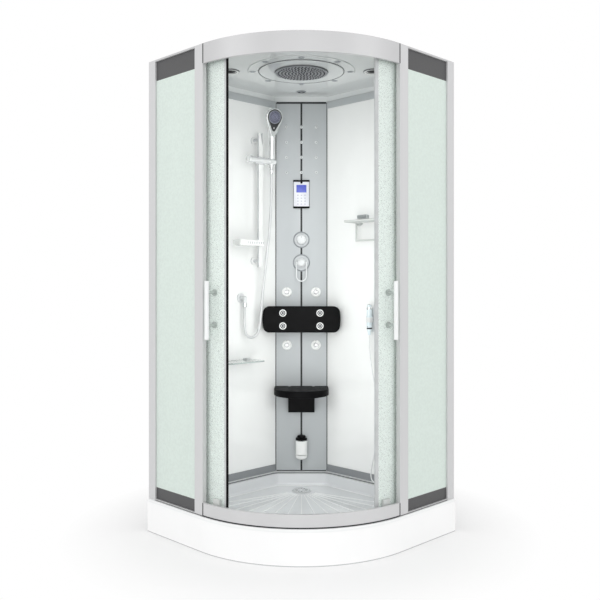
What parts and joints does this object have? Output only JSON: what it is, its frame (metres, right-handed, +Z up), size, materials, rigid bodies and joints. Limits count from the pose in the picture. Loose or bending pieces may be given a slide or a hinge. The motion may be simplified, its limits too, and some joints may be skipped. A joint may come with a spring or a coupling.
{
  "type": "steam shower cabin",
  "caption": "Quarter-round steam shower cabin with sliding curved glass doors, tray, massage column, hand shower, folding seat and lit roof.",
  "frame": {"origin": "centre of the bounding box's floor rectangle; the room corner is at +Y, where the two walls meet", "axes": "+Z up; the door faces -Y; the two room walls run from the corner at +Y towards -X-Y and +X-Y"},
  "size_m": [1.4142, 1.1656, 2.15],
  "materials": {
    "tray_white": "gloss",
    "panel_white": "satin gloss",
    "roof_white": "satin",
    "plastic_white": "gloss",
    "aluminium": "satin anodised",
    "galvanised": "galvanised",
    "glass_frosted": "frosted",
    "glass_pebbled": "pebbled",
    "glass_clear": "clear",
    "rubber_black": "matte",
    "seal_pale": "satin",
    "chrome": "polished",
    "plastic_chromed": "chrome plated",
    "brass_chromed": "chrome plated",
    "column_grey": "satin metallic",
    "plastic_dark": "matte",
    "plastic_black": "gloss",
    "plastic_grey": "satin",
    "nylon": "matte",
    "pad_black": "satin",
    "seat_black": "satin",
    "hose_steel": "metal sheathed",
    "hose_grey": "satin"
  },
  "bodies": {
    "cabin": {"shower_tray": "tray_white", "tray_apron": "tray_white", "tray_frame": "galvanised", "levelling_feet": "galvanised", "drain_trap": "plastic_grey", "bottom_rail": "aluminium", "top_rail": "aluminium", "wall_profiles": "aluminium", "door_posts": "aluminium", "side_glass": "glass_frosted", "wall_panels": "panel_white", "column_panels": "column_grey", "column_spine": "plastic_dark", "roof_panel": "roof_white", "rain_head": "plastic_dark", "light_ring": "roof_white", "speakers": "plastic_white", "vent_housing": "plastic_white", "control_panel": "plastic_black", "spray_jets": "plastic_white", "valve_body": "brass_chromed", "backrest_pad": "pad_black", "seat_bracket": "plastic_dark", "steam_outlet": "plastic_grey", "riser_rail": "aluminium", "shower_hose": "hose_steel", "glass_shelf": "glass_clear", "wall_fittings": "chrome", "towel_rack": "chrome", "sprayer_hose": "hose_grey", "steam_generator": "galvanised", "supply_hoses": "hose_steel"},
    "drain_cover": {"drain_cover": "chrome"},
    "door_left": {"door_glass_left": "glass_pebbled", "door_seal_left": "rubber_black", "door_handle_left": "chrome", "door_fittings_left": "chrome"},
    "door_right": {"door_glass_right": "glass_pebbled", "door_seal_right": "seal_pale", "door_handle_right": "chrome", "door_fittings_right": "chrome"},
    "wheel_left_front": {"wheel_left_front": "nylon"},
    "wheel_left_rear": {"wheel_left_rear": "nylon"},
    "wheel_right_front": {"wheel_right_front": "nylon"},
    "wheel_right_rear": {"wheel_right_rear": "nylon"},
    "fan": {"fan_impeller": "plastic_dark"},
    "nozzle_left_upper": {"nozzle_left_upper": "plastic_grey"},
    "nozzle_left_lower": {"nozzle_left_lower": "plastic_grey"},
    "nozzle_right_upper": {"nozzle_right_upper": "plastic_grey"},
    "nozzle_right_lower": {"nozzle_right_lower": "plastic_grey"},
    "diverter_knob": {"diverter_knob": "plastic_chromed"},
    "mixer_cap": {"mixer_cap": "plastic_chromed"},
    "mixer_lever": {"mixer_lever": "chrome"},
    "seat": {"seat": "seat_black"},
    "aroma_cap": {"aroma_cap": "plastic_black"},
    "rail_slider": {"rail_slider": "plastic_chromed"},
    "handset_holder": {"handset_holder": "plastic_chromed"},
    "handset": {"handset": "plastic_chromed"},
    "soap_dish": {"soap_dish": "plastic_white"},
    "side_sprayer": {"side_sprayer": "plastic_white"}
  },
  "joints": [
    {"name": "door_left_slide", "type": "hinge", "parent": "cabin", "child": "door_left", "pos_m": [0, 0.01716, 0], "axis": [0, 0, 1], "range_deg": [0, 33.6]},
    {"name": "door_right_slide", "type": "hinge", "parent": "cabin", "child": "door_right", "pos_m": [0, 0.01716, 0], "axis": [0, 0, -1], "range_deg": [0, 33.6]},
    {"name": "wheel_left_front_roll", "type": "hinge", "parent": "door_left", "child": "wheel_left_front", "pos_m": [-0.35431, -0.42038, 2.1113], "axis": [0.6293, 0.7771, 0], "range_deg": [-2, 1722]},
    {"name": "wheel_left_rear_roll", "type": "hinge", "parent": "door_left", "child": "wheel_left_rear", "pos_m": [-0.54009, -0.1418, 2.1113], "axis": [0.9593, 0.2823, 0], "range_deg": [-2, 1722]},
    {"name": "wheel_right_front_roll", "type": "hinge", "parent": "door_right", "child": "wheel_right_front", "pos_m": [0.35431, -0.42038, 2.1113], "axis": [0.6293, -0.7771, 0], "range_deg": [-2, 1722]},
    {"name": "wheel_right_rear_roll", "type": "hinge", "parent": "door_right", "child": "wheel_right_rear", "pos_m": [0.54009, -0.1418, 2.1113], "axis": [0.9593, -0.2823, 0], "range_deg": [-2, 1722]},
    {"name": "drain_cover_lift", "type": "slide", "parent": "cabin", "child": "drain_cover", "axis": [0, 0, 1], "range_m": [0, 0.03]},
    {"name": "fan_spin", "type": "hinge", "parent": "cabin", "child": "fan", "pos_m": [0, 0.26684, 2.1277], "axis": [0, 0, 1], "continuous": true},
    {"name": "nozzle_left_upper_tilt", "type": "hinge", "parent": "cabin", "child": "nozzle_left_upper", "pos_m": [-0.0765, 0.40484, 1.09], "axis": [1, 0, 0], "range_deg": [-15, 15]},
    {"name": "nozzle_left_lower_tilt", "type": "hinge", "parent": "cabin", "child": "nozzle_left_lower", "pos_m": [-0.0765, 0.40484, 0.812], "axis": [1, 0, 0], "range_deg": [-15, 15]},
    {"name": "nozzle_right_upper_tilt", "type": "hinge", "parent": "cabin", "child": "nozzle_right_upper", "pos_m": [0.0765, 0.40484, 1.09], "axis": [1, 0, 0], "range_deg": [-15, 15]},
    {"name": "nozzle_right_lower_tilt", "type": "hinge", "parent": "cabin", "child": "nozzle_right_lower", "pos_m": [0.0765, 0.40484, 0.812], "axis": [1, 0, 0], "range_deg": [-15, 15]},
    {"name": "diverter_turn", "type": "hinge", "parent": "cabin", "child": "diverter_knob", "pos_m": [0, 0.38284, 1.365], "axis": [0, -1, 0], "range_deg": [-90, 90]},
    {"name": "mixer_turn", "type": "hinge", "parent": "cabin", "child": "mixer_cap", "pos_m": [0, 0.38284, 1.244], "axis": [0, -1, 0], "range_deg": [-45, 45]},
    {"name": "mixer_lever_lift", "type": "hinge", "parent": "mixer_cap", "child": "mixer_lever", "pos_m": [0, 0.37784, 1.244], "axis": [-1, 0, 0], "range_deg": [0, 25]},
    {"name": "seat_fold", "type": "hinge", "parent": "cabin", "child": "seat", "pos_m": [0, 0.37884, 0.5825], "axis": [-1, 0, 0], "range_deg": [0, 88]},
    {"name": "aroma_cap_lift", "type": "slide", "parent": "cabin", "child": "aroma_cap", "axis": [0, 0, 1], "range_m": [0, 0.025]},
    {"name": "slider_height", "type": "slide", "parent": "cabin", "child": "rail_slider", "axis": [0, 0, 1], "range_m": [-0.35, 0.03], "deforming": ["shower_hose"]},
    {"name": "holder_tilt", "type": "hinge", "parent": "rail_slider", "child": "handset_holder", "pos_m": [-0.15344, 0.28657, 1.756], "axis": [0.7071, 0.7071, 0], "range_deg": [-4, 25]},
    {"name": "handset_lift", "type": "slide", "parent": "handset_holder", "child": "handset", "axis": [0, 0, 1], "range_m": [0, 0.04]},
    {"name": "soap_dish_height", "type": "slide", "parent": "cabin", "child": "soap_dish", "axis": [0, 0, 1], "range_m": [-0.03, 0.02]},
    {"name": "sprayer_lift", "type": "slide", "parent": "cabin", "child": "side_sprayer", "axis": [0, 0, 1], "range_m": [0, 0.04], "deforming": ["sprayer_hose"]}
  ],
  "couplings": [
    {"joint": "wheel_left_front_roll", "follows": "door_left_slide", "ratio": 51.182},
    {"joint": "wheel_left_rear_roll", "follows": "door_left_slide", "ratio": 51.182},
    {"joint": "wheel_right_front_roll", "follows": "door_right_slide", "ratio": 51.182},
    {"joint": "wheel_right_rear_roll", "follows": "door_right_slide", "ratio": 51.182}
  ]
}
